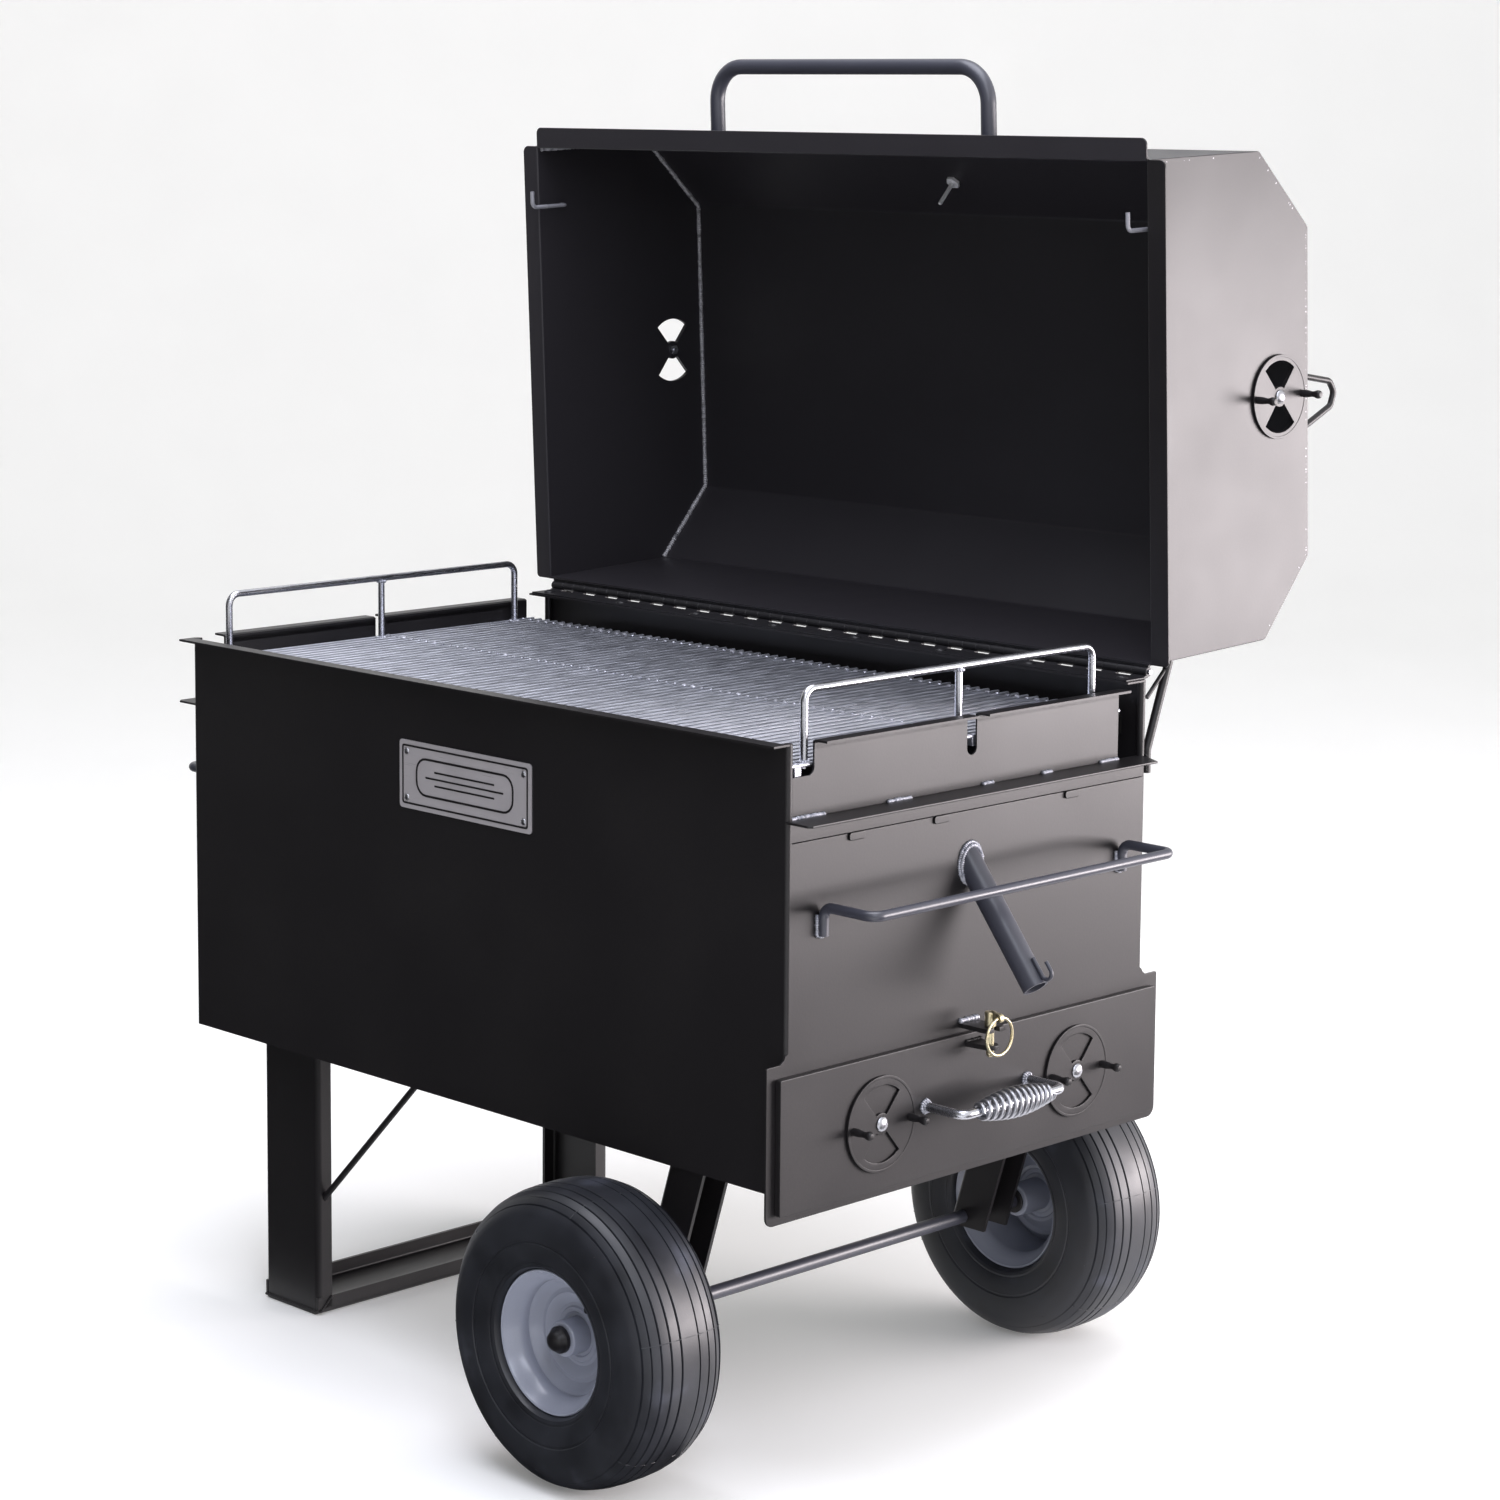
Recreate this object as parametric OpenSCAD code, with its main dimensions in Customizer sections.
/* [Pit] */
// length of the pit between its end panels
pit_len = 1183; // [900:1:1400]
// depth of the pit, front to back
pit_dep = 673; // [500:1:800]
// height of the top edge above the ground
rim_z = 956; // [850:1:1050]
// height of the underside of the pit floor
floor_z = 398; // [300:1:500]
// steel sheet thickness
sheet = 3; // [2:0.5:5]
// width of the outward flange on the top edge
top_flange = 24; // [15:1:40]
// height of the seam between the end panel and the lip band
seam_z = 834; // [780:1:860]
// height of the side lip
lip_z = 862; // [820:1:900]
// how far the side lip stands out
lip_w = 38; // [20:1:60]

/* [Charcoal drawer] */
// underside of the drawer frame flap
flap_z0 = 368.6; // [340:1:390]
// top of the drawer frame flap
flap_z1 = 566; // [520:1:620]
// how far the flap stands past the pit front and back
flap_out = 32; // [10:1:50]
// drawer face bottom
face_z0 = 380.7; // [360:1:400]
// drawer face top
face_z1 = 550.2; // [500:1:600]
// how far the drawer face stands past the pit front and back
face_out = 17.7; // [5:1:30]
// radius of a lid vent disc
vent_r = 57.5; // [40:0.5:80]
// radius of a drawer vent disc
drawer_vent_r = 61; // [40:0.5:80]
// distance of a finger post from the middle of its disc
post_at = 50; // [20:0.5:52]
// half angle of one vent opening
vent_half = 40; // [20:1:43]

/* [Lid] */
// tilt of the open lid toward the front
lid_tilt = 2.5; // [0:0.5:10]
// depth of the lid from its rim to its flat top
lid_dep = 337; // [250:1:400]
// length of the lid rim from the hinge to the front wall
lid_run = 673; // [500:1:760]
// height of the lid's front wall
wall_front = 230; // [150:1:300]
// height of the lid's back wall
wall_back = 240; // [150:1:300]
// width of the rim flange
rim_w = 28; // [15:1:40]
// thermometer case radius
thermo_r = 38; // [25:1:50]

/* [Wheels and stand] */
// tyre outside radius
tyre_r = 190.5; // [150:0.5:230]
// tyre width
tyre_w = 152; // [100:1:180]
// rim flange radius
rim_r = 91.5; // [80:0.5:110]
// axle rod radius
axle_r = 9.5; // [8:0.5:13]
// distance between the two wheel centres
track = 850; // [760:1:950]
// axle position behind the drawer end
axle_x = 258; // [150:1:400]
// width of the stand channel
chan_w = 121; // [80:1:150]
// height of the stand channel flanges
chan_h = 25; // [20:1:50]

/* [Grate] */
// number of grate rods
rod_n = 67; // [30:1:90]
// grate rod radius
rod_r = 3; // [2:0.5:5]
// height of the grate rods
grate_z = 925; // [880:1:940]
// height of the rail above the grate rods
rail_h = 90; // [50:1:120]

/* [Hidden] */
$fn = 48;
xm = -pit_len / 2;
// half the overall spans, so the origin is under the middle of the whole part
shift_x = (pit_len + 96.5 - 139.709) / 2;
shift_y = -(pit_dep / 2 - track / 2 - tyre_w / 2 + 1085.136) / 2;
hy = pit_dep + 7.6;
hz = rim_z + 16;
hr = 6.4;
knuckle = 25;
kn_n = floor(pit_len / knuckle);
kn_x0 = xm - kn_n * knuckle / 2;
leaf_t = 2.4;
leaf_z = hz - hr - leaf_t;
lid_x1 = 3.5;
lid_x0 = -pit_len - 3.5;
u0 = 10;
axle_z = tyre_r;
wheel_y = [pit_dep / 2 - track / 2, pit_dep / 2 + track / 2];
leg_x = -pit_len + 80;
leg_y = 58;
leg_t = 5;
vent_y = [157, 528];
vent_z = 464.5;
lid_vent = [270, 340];
latch_y = 328;
latch_x = 38;
slide_gap = 0.5;
black = [0.12, 0.12, 0.13];
dark = [0.2, 0.2, 0.21];
steel = [0.78, 0.79, 0.8];
grey = [0.5, 0.51, 0.53];
rubber = [0.16, 0.16, 0.17];
zinc = [0.78, 0.7, 0.45];
// which sub-part to draw

// ---- helpers ----
module place() { translate([shift_x, shift_y, 0]) children(); }
module box(a, b) { translate(a) cube(b - a); }
module rod_x(x0, x1, y, z, r) { translate([x0, y, z]) rotate([0, 90, 0]) cylinder(r = r, h = x1 - x0); }
module rod_y(x, y0, y1, z, r) { translate([x, y1, z]) rotate([90, 0, 0]) cylinder(r = r, h = y1 - y0); }
module rod_z(x, y, z0, z1, r) { translate([x, y, z0]) cylinder(r = r, h = z1 - z0); }
module rod(a, b, r) {
    d = b - a;
    translate(a) rotate([0, acos(d[2] / norm(d)), atan2(d[1], d[0])]) cylinder(r = r, h = norm(d));
}
// a quarter bend lying in the XY plane, centre at the origin, from +X round to +Y
module bend(rb, r) { rotate_extrude(angle = 90) translate([rb, 0]) circle(r = r); }
// plates lying in the YZ plane, points given as [y, z]
module plate_x(x0, t, pts) { translate([x0, 0, 0]) rotate([90, 0, 90]) linear_extrude(t) polygon(pts); }
module mirror_end() { translate([2 * xm, 0, 0]) mirror([1, 0, 0]) children(); }
// two opposite ring sectors, one up and one down, in the XY plane
module bow_tie(r0, r1, half, h) {
    for (s = [0, 180]) rotate([0, 0, s]) linear_extrude(h) intersection() {
        difference() { circle(r = r1); circle(r = r0); }
        polygon([[0, 0], [2 * r1 * sin(half), 2 * r1 * cos(half)], [-2 * r1 * sin(half), 2 * r1 * cos(half)]]);
    }
}
// moves children from the closed lid's rim frame (x, depth, run) to the open lid
module lid_frame() { translate([0, hy, hz]) rotate([lid_tilt, 0, 0]) children(); }

// ---- pit ----
module front_panel() place() color(black) {
    box([-pit_len + sheet, 0, floor_z], [-sheet, sheet, rim_z]);
    box([-pit_len, -top_flange, rim_z - sheet], [0, sheet, rim_z]);
}
module back_panel() place() color(black) {
    box([-pit_len + sheet, pit_dep - sheet, floor_z], [-sheet, pit_dep, leaf_z]);
    box([-pit_len, pit_dep - 40, leaf_z - sheet], [0, pit_dep, leaf_z]);
}
module floor_panel() place() color(black)
    box([-pit_len + sheet, sheet, floor_z], [-sheet, pit_dep - sheet, floor_z + sheet]);
module pipe_axis() { translate([0, latch_y, 767]) rotate([0, 141.7, 0]) children(); }
module end_panel_right() place() color(black) difference() {
    plate_x(-sheet, sheet, [[0, seam_z], [pit_dep, seam_z], [pit_dep, flap_z1 + 8],
        [pit_dep + 4, flap_z1 + 3], [pit_dep + 8, flap_z1], [pit_dep + flap_out, flap_z1],
        [pit_dep + flap_out, flap_z0 + 10], [pit_dep + flap_out - 12, flap_z0],
        [-flap_out + 12, flap_z0], [-flap_out + 4, flap_z0 + 4], [-flap_out, flap_z0 + 12],
        [-flap_out, flap_z1], [-8, flap_z1], [-4, flap_z1 + 3], [0, flap_z1 + 8]]);
    box([-sheet - 1, 10, floor_z + sheet], [1, pit_dep - 10, face_z1 - 1.2]);
    pipe_axis() translate([0, 0, -40]) cylinder(r = 13.35, h = 80);
}
module end_panel_left() place() color(black)
    box([-pit_len, 0, floor_z], [-pit_len + sheet, pit_dep, seam_z]);
module lip() {
    box([-sheet, 0, seam_z], [0, pit_dep, lip_z - sheet]);
    translate([0, 0, lip_z - sheet]) linear_extrude(sheet)
        polygon([[-10, sheet], [-10, pit_dep - sheet], [0, pit_dep - sheet], [lip_w, pit_dep - 22],
            [lip_w, 5], [lip_w - 5, 0], [-sheet, 0], [-sheet, sheet]]);
    for (y = [110, 250, 470]) box([0, y, seam_z - 3], [3, y + 34, seam_z + 3]);
}
module lip_right() place() color(black) lip();
module lip_left() place() color(black) mirror_end() lip();
module upper_end() {
    difference() {
        union() {
            box([-8, 8, lip_z], [-5, 621, rim_z]);
            box([-8, 50, rim_z - sheet], [16, 621, rim_z]);
        }
        box([-9, 7, 913], [-4, 50, rim_z + 1]);
        box([-9, 325, 912], [30, 343, rim_z + 1]);
        translate([-9, 334, 912]) rotate([0, 90, 0]) cylinder(r = 9, h = 6);
    }
}
module upper_end_right() place() color(black) upper_end();
module upper_end_left() place() color(black) mirror_end() upper_end();
module grate_ledges() place() color(dark) {
    zl = grate_z - 13;
    box([-pit_len + 40, sheet, zl - 3], [-40, 34, zl]);
    box([-pit_len + 40, sheet, zl - 25], [-40, sheet + 3, zl]);
    box([-pit_len + 40, 596, zl - 3], [-40, pit_dep - sheet, zl]);
    box([-pit_len + 40, pit_dep - sheet - 3, zl - 25], [-40, pit_dep - sheet, zl]);
}
module drawer_runners() place() color(dark)
    for (y = [60, pit_dep - 80])
        box([-pit_len + 10, y, floor_z + sheet], [-6, y + 20, floor_z + sheet + 6]);

// ---- stand and axle ----
module stand_leg() {
    box([leg_x, leg_y, leg_t], [leg_x + chan_w, leg_y + leg_t, floor_z]);
    for (x = [leg_x, leg_x + chan_w - leg_t])
        box([x, leg_y, leg_t], [x + leg_t, leg_y + chan_h, floor_z]);
}
module flip_y() { translate([0, pit_dep, 0]) mirror([0, 1, 0]) children(); }
module stand_leg_front() place() color(black) stand_leg();
module stand_leg_rear() place() color(black) flip_y() stand_leg();
module stand_beam() place() color(black) {
    box([leg_x, leg_y, 0], [leg_x + chan_w, pit_dep - leg_y, leg_t]);
    for (x = [leg_x, leg_x + chan_w - leg_t])
        box([x, leg_y + chan_h, 0], [x + leg_t, pit_dep - leg_y - chan_h, chan_h]);
}
module stand_braces() place() color(black) for (y = [leg_y + 14, pit_dep - leg_y - 14]) difference() {
    rod([leg_x + chan_w - 12, y, 158], [leg_x + chan_w + 250, y, 420], 4.5);
    box([leg_x + 60, y - 10, 120], [leg_x + chan_w, y + 10, 220]);
    box([leg_x + chan_w + 180, y - 10, floor_z], [leg_x + chan_w + 280, y + 10, 450]);
}
module axle_support() difference() {
    union() {
        for (y = [10, 55]) translate([0, y + 5, 0]) rotate([90, 0, 0]) linear_extrude(5)
            polygon([[-150, floor_z], [-232, 176], [-284, 176], [-214, floor_z]]);
        translate([0, 60, 0]) rotate([90, 0, 0]) linear_extrude(50)
            polygon([[-214, floor_z], [-284, 176], [-279, 176], [-209, floor_z]]);
    }
    rod_y(-axle_x, 0, 80, axle_z, axle_r);
}
module axle_support_front() place() color(black) axle_support();
module axle_support_rear() place() color(black) flip_y() axle_support();
module axle() place() color(black) rod_y(-axle_x, wheel_y[0] - 42, wheel_y[1] + 42, axle_z, axle_r);
module collar_pair() {
    translate([-axle_x, wheel_y[0] + 44.6, axle_z]) rotate([90, 0, 0]) difference() {
        cylinder(r = 17, h = 4);
        translate([0, 0, -1]) cylinder(r = axle_r, h = 6);
    }
    translate([-axle_x, wheel_y[0] - 40.6, axle_z]) rotate([90, 0, 0]) rotate_extrude()
        polygon([[axle_r, 0], [17, 0], [17, 6], [14, 9], [12, 13], [7, 17], [0, 19],
            [0, 1.4], [axle_r, 1.4]]);
}
module axle_collars() place() color(dark) {
    collar_pair();
    flip_y() collar_pair();
}

// ---- fittings on the pit ----
module pull_handle() {
    ye = [57, 620];
    rh = 6.5;
    zh = 752;
    rb = 14;
    xo = 90;
    for (k = [0, 1]) {
        rod_z(rh, ye[k], zh - 36, zh - rb, rh);
        translate([rh + rb, ye[k], zh - rb]) mirror([1, 0, 0]) rotate([90, 0, 0]) bend(rb, rh);
        rod_x(rh + rb, xo - rb, ye[k], zh, rh);
    }
    translate([xo - rb, ye[0] + rb, zh]) rotate([0, 0, -90]) bend(rb, rh);
    translate([xo - rb, ye[1] - rb, zh]) bend(rb, rh);
    rod_y(xo, ye[0] + rb, ye[1] - rb, zh, rh);
}
module pull_handle_right() place() color(black) pull_handle();
module pull_handle_left() place() color(black) mirror_end() pull_handle();
module drain_pipe() place() color(black) {
    difference() {
        pipe_axis() translate([0, 0, -30]) cylinder(r = 16.7, h = 211);
        pipe_axis() translate([0, 0, -31]) cylinder(r = 13.35, h = 213);
        box([-60, latch_y - 30, 700], [0, latch_y + 30, 860]);
    }
    pipe_axis() translate([-16.7 - 2.4, 0, 148]) {
        cylinder(r = 2.6, h = 26);
        translate([-8, 0, 26]) rotate([90, 0, 0]) rotate_extrude(angle = 180)
            translate([8, 0]) circle(r = 2.6);
        translate([-16, 0, 14]) cylinder(r = 2.6, h = 12);
    }
}
module knuckles(odd, r) for (i = [odd:2:kn_n - 1]) difference() {
    rod_x(kn_x0 + i * knuckle + 0.15, kn_x0 + (i + 1) * knuckle - 0.15, hy, hz, hr);
    rod_x(kn_x0 + i * knuckle - 1, kn_x0 + (i + 1) * knuckle + 1, hy, hz, r);
}
module hinge_lower() place() color(dark) {
    box([kn_x0, pit_dep - 38, leaf_z], [kn_x0 + kn_n * knuckle, pit_dep - 1, leaf_z + leaf_t]);
    knuckles(0, 3);
    for (i = [0:2:kn_n - 1]) difference() {
        box([kn_x0 + i * knuckle + 0.15, pit_dep - 3, leaf_z],
            [kn_x0 + (i + 1) * knuckle - 0.15, hy, leaf_z + leaf_t + 2]);
        rod_x(kn_x0 + i * knuckle - 1, kn_x0 + (i + 1) * knuckle + 1, hy, hz, 4);
    }
}
module hinge_pin() place() color(steel) rod_x(kn_x0 - 3, kn_x0 + kn_n * knuckle + 3, hy, hz, 3);
module hinge_bolts() place() color(steel) for (i = [0:7])
    translate([-25 - i * (pit_len - 50) / 7, 652, leaf_z + leaf_t]) rotate_extrude()
        polygon([[0, 0], [8.5, 0], [7.6, 1.6], [5, 3], [0, 3.6]]);
module lid_stops() place() color(black) for (x = [-4, -pit_len + 4]) {
    rod_z(x, pit_dep + 6, 838, 868, 6);
    translate([x, pit_dep + 6, 868]) sphere(r = 6);
    rod([x, pit_dep + 6, 868], [x, 720, 977.3], 6);
    translate([x, 720, 977.3]) sphere(r = 6);
    rod([x, pit_dep + 4, 938], [x, 714, 972], 3);
}
module badge_plate() place() color(steel) {
    box([xm - 132, -2, 779], [xm + 132, 0, 871]);
    difference() {
        box([xm - 126, -2.6, 785], [xm + 126, -2, 865]);
        box([xm - 123.5, -3, 787.5], [xm + 123.5, -1.9, 862.5]);
    }
    for (x = [xm - 117, xm + 117], z = [794, 856])
        translate([x, -2, z]) rotate([90, 0, 0]) rotate_extrude()
            polygon([[0, -1], [4.5, -1], [4.5, 0], [4, 1], [2.5, 1.8], [0, 2.1]]);
}
module latch_ear_fixed() place() color(black) difference() {
    union() {
        box([0, latch_y - 17, 557], [latch_x, latch_y + 17, 563]);
        rod_z(latch_x, latch_y, 557, 563, 17);
    }
    rod_z(latch_x, latch_y, 550, 570, 5.4);
    box([latch_x, latch_y - 5.4, 550], [latch_x + 30, latch_y + 5.4, 570]);
    box([latch_x + 11, latch_y - 30, 550], [latch_x + 30, latch_y + 30, 570]);
}

// ---- lid ----
chamfer = lid_dep - wall_front;
lid_out = [[-3, u0], [wall_back, u0], [lid_dep, 114], [lid_dep, lid_run - chamfer],
    [wall_front, lid_run], [-3, lid_run]];
module lid_wrap() place() color(black) lid_frame() {
    difference() {
        plate_x(lid_x0 + sheet, lid_x1 - lid_x0 - 2 * sheet, lid_out);
        plate_x(lid_x0, lid_x1 - lid_x0, [[-4, u0 + sheet], [wall_back - 1.24, u0 + sheet],
            [lid_dep - sheet, 114 + 1.24], [lid_dep - sheet, lid_run - chamfer - 1.24],
            [wall_front - 1.24, lid_run - sheet], [-4, lid_run - sheet]]);
        thermo_at() translate([0, 0, -10]) cylinder(r = 3, h = 20);
    }
    rotate([90, 0, 0]) linear_extrude(3) polygon([[lid_x0 + sheet, lid_run - sheet],
        [lid_x1 - sheet, lid_run - sheet], [lid_x1 - sheet, lid_run + rim_w - 9],
        [lid_x1 - sheet - 3, lid_run + rim_w - 3], [lid_x1 - sheet - 9, lid_run + rim_w],
        [lid_x0 + sheet + 9, lid_run + rim_w], [lid_x0 + sheet + 3, lid_run + rim_w - 3],
        [lid_x0 + sheet, lid_run + rim_w - 9]]);
}
module lid_end() difference() {
    union() {
        plate_x(lid_x1 - sheet, sheet, lid_out);
        rotate([90, 0, 0]) linear_extrude(3) polygon([[lid_x1 - sheet, u0],
            [lid_x1 + rim_w - 6, u0], [lid_x1 + rim_w, u0 + 6], [lid_x1 + rim_w, lid_run - 11],
            [lid_x1 + rim_w - 3, lid_run - 4], [lid_x1 + rim_w - 10, lid_run],
            [lid_x1 - sheet, lid_run]]);
    }
    translate([lid_x1 - sheet - 1, lid_vent[0], lid_vent[1]]) rotate([90, 0, 90]) {
        bow_tie(14, 49, vent_half, sheet + 2);
        cylinder(r = 4, h = sheet + 2);
    }
}
module lid_end_right() place() color(black) lid_frame() lid_end();
module lid_end_left() place() color(black) lid_frame() mirror_end() lid_end();
module hinge_upper() place() color(dark) {
    lid_frame() box([kn_x0, -0.5, u0 - leaf_t], [kn_x0 + kn_n * knuckle, 28, u0]);
    knuckles(1, 3.05);
    for (i = [1:2:kn_n - 1])
        box([kn_x0 + i * knuckle + 0.4, hy + 0.2, hz + 4.6], [kn_x0 + (i + 1) * knuckle - 0.4, hy + 3, hz + 9]);
}
module lid_handle() place() color(black) lid_frame() {
    rt = 11;
    rb = 50;
    hw = 264;
    up = lid_run + 117;
    for (s = [-1, 1]) rod_z(xm + s * hw, 62, lid_run, up - rb, rt);
    translate([xm + hw - rb, 62, up - rb]) rotate([90, 0, 0]) bend(rb, rt);
    translate([xm - hw + rb, 62, up - rb]) mirror([1, 0, 0]) rotate([90, 0, 0]) bend(rb, rt);
    rod_x(xm - hw + rb, xm + hw - rb, 62, up, rt);
}
module lid_hook() {
    xk = -12;
    rk = 3;
    uk = 582;
    rod_x(xk, lid_x1 - sheet, 42, uk, rk);
    translate([xk, 42, uk]) sphere(r = rk);
    rod_y(xk, -26, 42, uk, rk);
    translate([xk, -26, uk]) sphere(r = rk);
    rod_z(xk, -26, uk, 606, rk);
}
module lid_hooks() place() color(black) lid_frame() {
    lid_hook();
    mirror_end() lid_hook();
}
module lid_loop() {
    xk = -12;
    pts = [[lid_dep, 362], [405, 348], [415, 334], [407, 314], [lid_dep, 285]];
    for (i = [0:3])
        rod([xk, pts[i][0], pts[i][1]], [xk, pts[i + 1][0], pts[i + 1][1]], 4.5);
    for (i = [1:3]) translate([xk, pts[i][0], pts[i][1]]) sphere(r = 4.5);
}
module lid_loops() place() color(black) lid_frame() {
    lid_loop();
    mirror_end() lid_loop();
}
module thermo_at() {
    translate([xm, lid_dep - chamfer / 2, lid_run - chamfer / 2]) rotate([-45, 0, 0]) children();
}
module thermo_case() place() color(steel) lid_frame() thermo_at() rotate_extrude()
    polygon([[4, 0], [thermo_r - 6, 0], [thermo_r - 2, 2], [thermo_r - 2, 9], [thermo_r, 10],
        [thermo_r, 15], [thermo_r - 4, 16], [thermo_r - 4, 11], [4, 11]]);
module thermo_glass() place() color([0.85, 0.87, 0.88]) lid_frame() thermo_at()
    translate([0, 0, 12.4]) cylinder(r = thermo_r - 4, h = 1.6);
module thermo_stem() place() color(steel) lid_frame() thermo_at() {
    translate([0, 0, -48]) cylinder(r = 3, h = 60);
    difference() {
        translate([0, 0, -8]) cylinder(r = 11, h = 5);
        translate([0, 0, -9]) cylinder(r = 2.9, h = 7);
    }
}
module vent_bolt(x) translate([x, 0, 0]) rotate([0, 90, 0]) {
    translate([0, 0, -10]) cylinder(r = 4, h = 14.2);
    translate([0, 0, 4.1]) rotate_extrude() polygon([[0, 0], [9.5, 0], [8.6, 1.8], [5.5, 3.6], [0, 4.4]]);
    translate([0, 0, -8]) rotate_extrude() polygon([[3.9, 0], [7.5, 0], [7.5, 5], [3.9, 5]]);
}
module vent_disc(radius) {
    rotate([90, 0, 90]) difference() {
        cylinder(r = radius, h = 3);
        translate([0, 0, -1]) {
            bow_tie(14, 49, vent_half, 5);
            cylinder(r = 4.06, h = 5);
        }
    }
    for (s = [-1, 1]) {
        rod_x(3, 30, post_at * s, 0, 4.5);
        translate([30, post_at * s, 0]) sphere(r = 4.5);
    }
}
module lid_vent_bolts() place() color(steel) lid_frame() {
    translate([0, lid_vent[0], lid_vent[1]]) vent_bolt(lid_x1);
    mirror_end() translate([0, lid_vent[0], lid_vent[1]]) vent_bolt(lid_x1);
}
module lid_vent_right() place() color(dark) lid_frame()
    translate([lid_x1 + slide_gap, lid_vent[0], lid_vent[1]]) vent_disc(vent_r);
module lid_vent_left() place() color(dark) lid_frame() mirror_end()
    translate([lid_x1 + slide_gap, lid_vent[0], lid_vent[1]]) vent_disc(vent_r);

// ---- charcoal drawer ----
face_x = 9.6;
module drawer_face() place() color(black) difference() {
    box([0.6, -face_out, face_z0], [face_x, pit_dep + face_out, face_z1]);
    box([0, -face_out + sheet, face_z0 + sheet], [face_x - sheet, pit_dep + face_out - sheet, face_z1 - sheet]);
    for (y = vent_y) translate([face_x - sheet - 1, y, vent_z]) rotate([90, 0, 90]) {
        rotate([0, 0, 90]) bow_tie(14, 49, vent_half, sheet + 2);
        cylinder(r = 4, h = sheet + 2);
    }
}
module drawer_pan() place() color(dark) difference() {
    box([-pit_len + 30, 14, floor_z + 9.5], [face_x - sheet, pit_dep - 14, 540]);
    box([-pit_len + 32.5, 16.5, floor_z + 12], [face_x, pit_dep - 16.5, 541]);
}
module charcoal_grate() place() color(dark) {
    for (y = [60, pit_dep / 2 - 5, pit_dep - 70])
        box([-pit_len + 45, y, floor_z + 12], [-12, y + 10, floor_z + 30]);
    for (i = [0:38]) rod_y(-24 - i * 29, 22, pit_dep - 22, floor_z + 33, 4);
}
module drawer_handle() place() color(steel) {
    rh = 6;
    rb = 14;
    xo = 73;
    ye = [240, 432];
    for (k = [0, 1]) rod_x(face_x, xo - rb, ye[k], 471, rh);
    translate([xo - rb, ye[0] + rb, 471]) rotate([0, 0, -90]) bend(rb, rh);
    translate([xo - rb, ye[1] - rb, 471]) bend(rb, rh);
    rod_y(xo, ye[0] + rb, ye[1] - rb, 471, rh);
}
module drawer_grip() place() color(steel) for (i = [0:26])
    translate([73, 268.4 + i * 5.2, 471]) rotate([90, 0, 0]) rotate_extrude()
        translate([8.8 + 8.4 * sin(180 * i / 26), 0]) circle(r = 2.75, $fn = 24);
module latch_ear_drawer() place() color(black) difference() {
    union() {
        box([face_x, latch_y - 15, 534], [latch_x, latch_y + 15, 540]);
        rod_z(latch_x, latch_y, 534, 540, 11);
    }
    rod_z(latch_x, latch_y, 530, 545, 5.05);
}
module drawer_vent_bolts() place() color(steel) for (y = vent_y)
    translate([0, y, vent_z]) vent_bolt(face_x);
module drawer_vent_front() place() color(dark)
    translate([face_x + slide_gap, vent_y[0], vent_z]) vent_disc(drawer_vent_r);
module drawer_vent_rear() place() color(dark)
    translate([face_x + slide_gap, vent_y[1], vent_z]) vent_disc(drawer_vent_r);
module latch_pin() place() color(zinc) difference() {
    union() {
        rod_z(latch_x, latch_y, 524, 580, 5);
        rod_z(latch_x, latch_y, 563.4, 582, 7.5);
        box([latch_x, latch_y - 3.5, 571], [latch_x + 20, latch_y + 3.5, 582]);
    }
    rod_y(latch_x + 15.5, latch_y - 10, latch_y + 10, 576.5, 2.4);
}
module pin_ring() place() color(zinc)
    translate([latch_x + 15.5, latch_y, 576.5 - 24]) rotate([0, 90, 0]) rotate_extrude()
        translate([24, 0]) circle(r = 2, $fn = 24);

// ---- cooking grate ----
module cooking_grate() place() color(steel) {
    for (y = [22, 340, 604])
        box([-pit_len + 10, y, grate_z - 12.7], [-10, y + 10, grate_z - 1]);
    for (i = [0:rod_n - 1])
        rod_y(-13 - i * (pit_len - 26) / (rod_n - 1), 16, 630, grate_z, rod_r);
}
module rail() {
    rr = 5;
    rb = 16;
    xr = -13 - rod_r - rr;
    zt = grate_z + rail_h;
    for (y = [48, 584]) rod_z(xr, y, grate_z - 6, zt - rb, rr);
    rod_z(xr, 325, grate_z - 6, zt, rr);
    rod_y(xr, 48 + rb, 584 - rb, zt, rr);
    translate([xr, 584 - rb, zt - rb]) rotate([90, 0, 90]) bend(rb, rr);
    translate([xr, 48 + rb, zt - rb]) mirror([0, 1, 0]) rotate([90, 0, 90]) bend(rb, rr);
}
module grate_rails() place() color(steel) {
    rail();
    mirror_end() rail();
}

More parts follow.
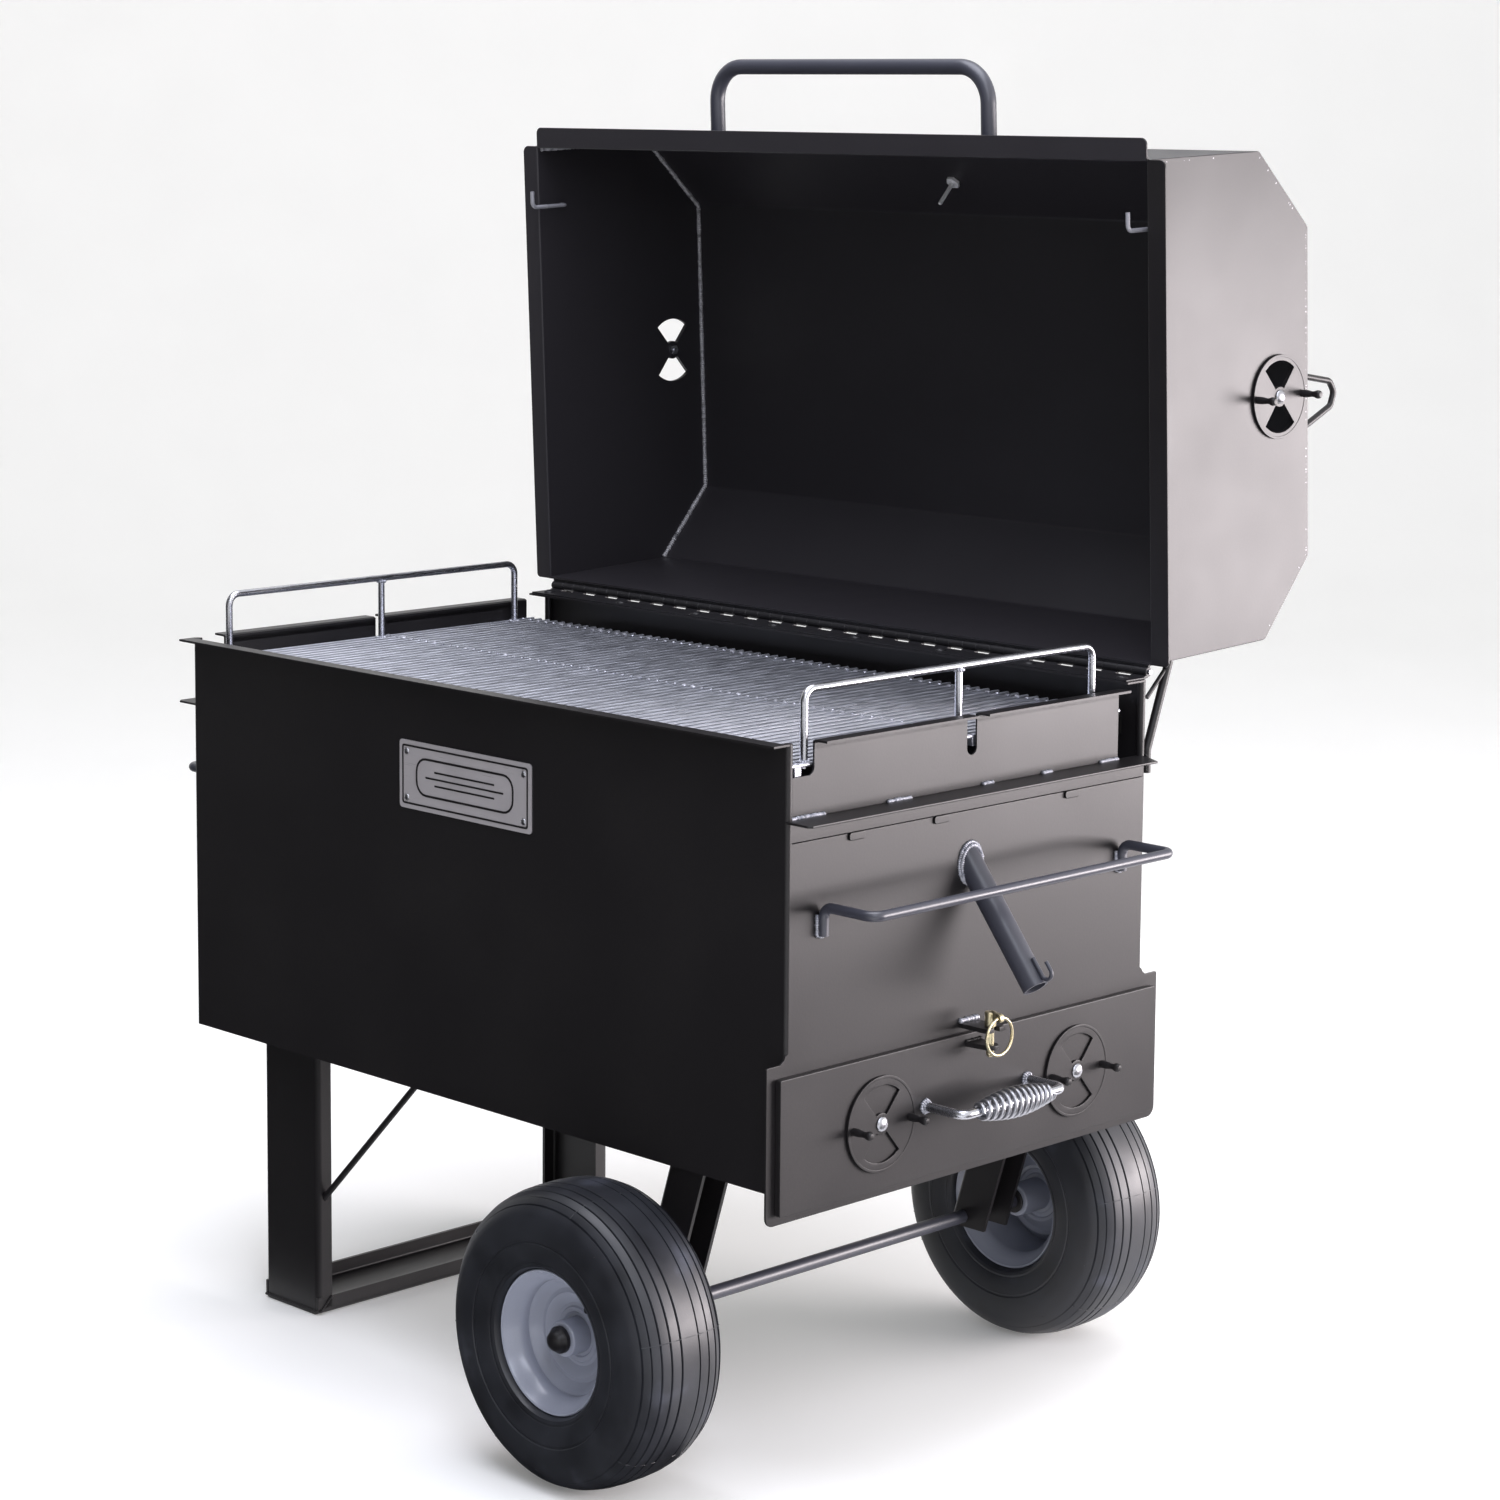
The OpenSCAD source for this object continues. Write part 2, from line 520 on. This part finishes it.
// ---- wheels ----
module tyre(k) translate([-axle_x, wheel_y[k], axle_z]) rotate([90, 0, 0]) rotate_extrude($fn = 96)
    polygon([[76, -57], [76, -42], [80, -44], [90, -60], [112, -65], [140, -66], [162, -58], [174, -38],
        [178, 0], [174, 38], [162, 58], [140, 66], [112, 65], [90, 60], [80, 44], [76, 42], [76, 57],
        [92, 57], [95, 66], [100, 70], [118, 75], [138, tyre_w / 2], [157, 73], [172, 65],
        [183, 48], [tyre_r - 1.5, 24],
        [tyre_r, 8], [tyre_r, -8], [tyre_r - 1.5, -24], [183, -48], [172, -65], [157, -73],
        [138, -tyre_w / 2], [118, -75], [100, -70], [95, -66], [92, -57]]);
module rim(k) translate([-axle_x, wheel_y[k], axle_z]) rotate([90, 0, 0])
    rotate_extrude($fn = 96) polygon([[73, -57], [73, 57], [76, 61], [rim_r - 3, 62.5],
        [rim_r, 60], [rim_r - 1, 57], [76, 57], [76, -57], [rim_r - 1, -57], [rim_r, -60], [rim_r - 3, -62.5], [76, -61]]);
module wheel_disc(k) translate([-axle_x, wheel_y[k], axle_z]) rotate([90, 0, 0]) {
    rotate_extrude($fn = 96) polygon([[axle_r + 0.06, -40], [22, -40], [23, -38], [23, -3], [40, 6], [60, 8],
        [72.95, -2], [72.95, 3], [60, 12], [40, 10], [23, 3.6], [23, 38], [22, 40], [axle_r + 0.06, 40]]);
    rotate([0, 0, 48]) translate([62, 0, 9]) cylinder(r = 4, h = 30);
}
module tyre_front() place() color(rubber) tyre(0);
module tyre_rear() place() color(rubber) flip_y() tyre(0);
module rim_front() place() color(grey) rim(0);
module rim_rear() place() color(grey) flip_y() rim(0);
module wheel_disc_front() place() color(grey) wheel_disc(0);
module wheel_disc_rear() place() color(grey) flip_y() wheel_disc(0);

front_panel();
back_panel();
floor_panel();
end_panel_right();
end_panel_left();
lip_right();
lip_left();
upper_end_right();
upper_end_left();
grate_ledges();
drawer_runners();
stand_leg_front();
stand_leg_rear();
stand_beam();
stand_braces();
axle_support_front();
axle_support_rear();
axle();
axle_collars();
pull_handle_right();
pull_handle_left();
drain_pipe();
hinge_lower();
hinge_pin();
hinge_bolts();
lid_stops();
badge_plate();
latch_ear_fixed();
lid_wrap();
lid_end_right();
lid_end_left();
hinge_upper();
lid_handle();
lid_hooks();
lid_loops();
thermo_case();
thermo_glass();
thermo_stem();
lid_vent_bolts();
lid_vent_right();
lid_vent_left();
drawer_face();
drawer_pan();
charcoal_grate();
drawer_handle();
drawer_grip();
latch_ear_drawer();
drawer_vent_bolts();
drawer_vent_front();
drawer_vent_rear();
latch_pin();
pin_ring();
cooking_grate();
grate_rails();
tyre_front();
rim_front();
wheel_disc_front();
tyre_rear();
rim_rear();
wheel_disc_rear();
